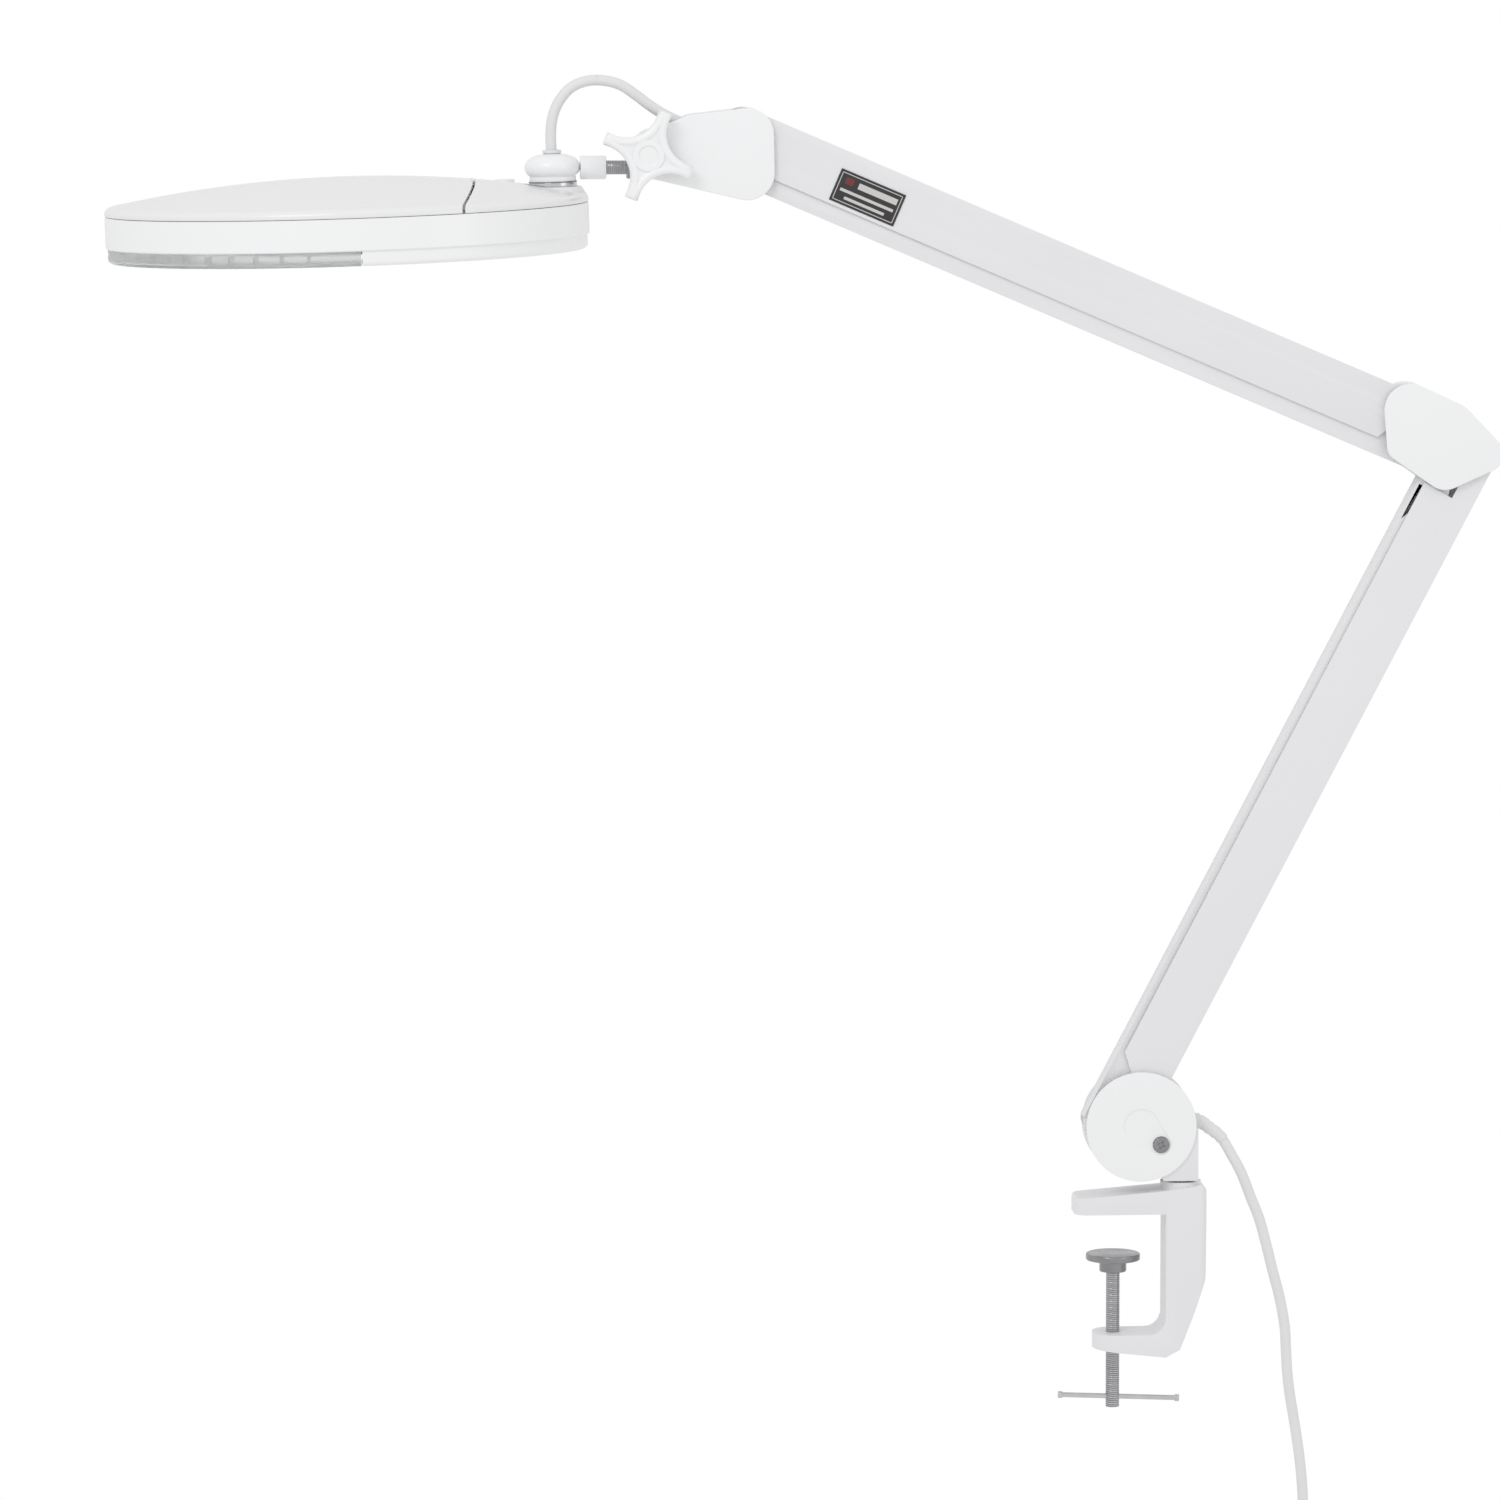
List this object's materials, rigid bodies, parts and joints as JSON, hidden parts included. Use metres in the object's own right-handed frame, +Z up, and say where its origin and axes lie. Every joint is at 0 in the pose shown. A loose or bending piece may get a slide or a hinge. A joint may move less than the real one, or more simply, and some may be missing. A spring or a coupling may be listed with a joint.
{
  "type": "clamp-mounted magnifier task lamp",
  "caption": "Round lighted magnifier head with a hinged lens cover, on a two-stage parallelogram spring arm that swivels in a screw clamp for a table edge.",
  "frame": {"origin": "middle of the underside of the clamp's upper jaw, the face that rests on the table", "axes": "+X from the head side to the back of the clamp, +Y across the lamp away from the star knob, +Z up"},
  "size_m": [0.8138, 0.28, 0.9888],
  "materials": {
    "white_coat": "satin light grey-white powder coat",
    "white_moulding": "smooth white moulded plastic",
    "steel": "zinc-plated steel",
    "nylon": "natural nylon",
    "white_rubber": "soft white cord sheath",
    "black_rubber": "black rubber",
    "brass": "bright brass",
    "label_black": "printed black film",
    "lens_glass": "polished optical glass",
    "diffuser": "clear ribbed plastic",
    "circuit": "white solder mask",
    "led": "phosphor resin",
    "dark_plastic": "dark moulded plastic"
  },
  "bodies": {
    "clamp": {"clamp_body": "white_coat", "swivel_bush": "nylon"},
    "pad": {"pressure_pad": "steel"},
    "screw": {"clamp_screw": "steel"},
    "bar": {"tommy_bar": "steel"},
    "knuckle": {"knuckle_bracket": "white_coat", "swivel_pin": "steel", "base_cover_front": "white_moulding", "base_cover_rear": "white_moulding", "base_cover_screws": "steel", "base_pivot_pins": "steel", "base_spacers": "nylon", "strain_relief": "white_rubber", "mains_cord": "white_rubber", "cord_coil": "white_rubber", "coil_tie": "black_rubber", "mains_plug": "white_rubber", "plug_blades": "brass"},
    "lower_outer": {"lower_outer_channel": "white_coat", "lower_springs": "steel"},
    "lower_inner": {"lower_inner_channel": "white_coat"},
    "elbow": {"elbow_plates": "white_coat", "elbow_cover_front": "white_moulding", "elbow_cover_rear": "white_moulding", "elbow_pivot_pins": "steel", "elbow_spacers": "nylon"},
    "upper_outer": {"upper_outer_channel": "white_coat", "upper_springs": "steel", "label_plate": "label_black"},
    "upper_inner": {"upper_inner_channel": "white_coat"},
    "head_bracket": {"head_plates": "white_coat", "head_cover_front": "white_moulding", "head_cover_rear": "white_moulding", "head_pivot_pins": "steel", "head_spacers": "nylon", "tilt_bolt": "steel", "tilt_nut": "steel", "head_cable": "white_rubber"},
    "knob": {"star_knob": "white_moulding"},
    "neck": {"neck_block": "steel"},
    "ball": {"neck_rod": "steel", "ball_housing": "white_moulding", "ball_washer": "steel", "cable_gland": "white_rubber"},
    "head": {"head_shell": "white_moulding", "rear_shell": "white_moulding", "swivel_stem": "steel", "stem_nut": "steel", "wave_washer": "steel", "lower_rim": "white_moulding", "diffuser": "diffuser", "lens": "lens_glass", "led_board": "circuit", "leds": "led", "driver": "dark_plastic", "switch_body": "dark_plastic"},
    "cover": {"lens_cover": "white_moulding", "hinge_pin": "steel"},
    "button": {"power_button": "white_moulding"}
  },
  "joints": [
    {"name": "pad_lift", "type": "slide", "parent": "clamp", "child": "pad", "axis": [0, 0, 1], "range_m": [-0.033, 0.02]},
    {"name": "screw_turn", "type": "hinge", "parent": "pad", "child": "screw", "pos_m": [-0.0024, 0, -0.1], "axis": [0, 0, 1], "range_deg": [-5944, 3604]},
    {"name": "bar_slide", "type": "slide", "parent": "screw", "child": "bar", "axis": [0.9992, 0, -0.0401], "range_m": [-0.032, 0.025]},
    {"name": "base_swivel", "type": "hinge", "parent": "clamp", "child": "knuckle", "pos_m": [0.0375, 0, 0.01], "axis": [0, 0, 1], "range_deg": [-140, 140]},
    {"name": "lower_lift", "type": "hinge", "parent": "knuckle", "child": "lower_outer", "pos_m": [0.0104, 0, 0.0623], "axis": [0, 1, 0], "range_deg": [-60, 25], "deforming": ["lower_springs"]},
    {"name": "lower_link", "type": "hinge", "parent": "knuckle", "child": "lower_inner", "pos_m": [-0.0126, 0, 0.0554], "axis": [0, 1, 0], "range_deg": [-60, 25]},
    {"name": "elbow_level", "type": "hinge", "parent": "lower_outer", "child": "elbow", "pos_m": [0.21021, 0, 0.44531], "axis": [0, 1, 0], "range_deg": [-25, 60]},
    {"name": "upper_lift", "type": "hinge", "parent": "elbow", "child": "upper_outer", "pos_m": [0.17601, 0, 0.47091], "axis": [0, 1, 0], "range_deg": [-30, 40], "deforming": ["upper_springs"]},
    {"name": "upper_link", "type": "hinge", "parent": "elbow", "child": "upper_inner", "pos_m": [0.16781, 0, 0.44851], "axis": [0, 1, 0], "range_deg": [-30, 40]},
    {"name": "head_level", "type": "hinge", "parent": "upper_outer", "child": "head_bracket", "pos_m": [-0.22106, 0, 0.6411], "axis": [0, 1, 0], "range_deg": [-40, 30]},
    {"name": "knob_turn", "type": "hinge", "parent": "head_bracket", "child": "knob", "pos_m": [-0.27666, -0.023, 0.6237], "axis": [0, -1, 0], "range_deg": [-180, 180]},
    {"name": "head_tilt", "type": "hinge", "parent": "head_bracket", "child": "neck", "pos_m": [-0.27666, 0, 0.6237], "axis": [0, 1, 0], "range_deg": [-60, 45], "deforming": ["head_cable"]},
    {"name": "head_roll", "type": "hinge", "parent": "neck", "child": "ball", "pos_m": [-0.29666, 0, 0.6161], "axis": [1, 0, 0], "range_deg": [-80, 80], "deforming": ["head_cable"]},
    {"name": "head_swivel", "type": "hinge", "parent": "ball", "child": "head", "pos_m": [-0.33061, 0, 0.59635], "axis": [-0.0297, 0, 0.9996], "range_deg": [-30, 30]},
    {"name": "cover_lift", "type": "hinge", "parent": "head", "child": "cover", "pos_m": [-0.37729, 0, 0.60837], "axis": [0, 1, 0], "range_deg": [0, 95]},
    {"name": "button_press", "type": "slide", "parent": "head", "child": "button", "axis": [0.0297, 0, -0.9996], "range_m": [0, 0.0015], "stiffness_N_per_m": 600}
  ],
  "couplings": [
    {"joint": "screw_turn", "follows": "pad_lift", "rad_per_m": 3141.6},
    {"joint": "lower_link", "follows": "lower_lift", "ratio": 1},
    {"joint": "elbow_level", "follows": "lower_lift", "ratio": -1},
    {"joint": "upper_link", "follows": "upper_lift", "ratio": 1},
    {"joint": "head_level", "follows": "upper_lift", "ratio": -1}
  ]
}
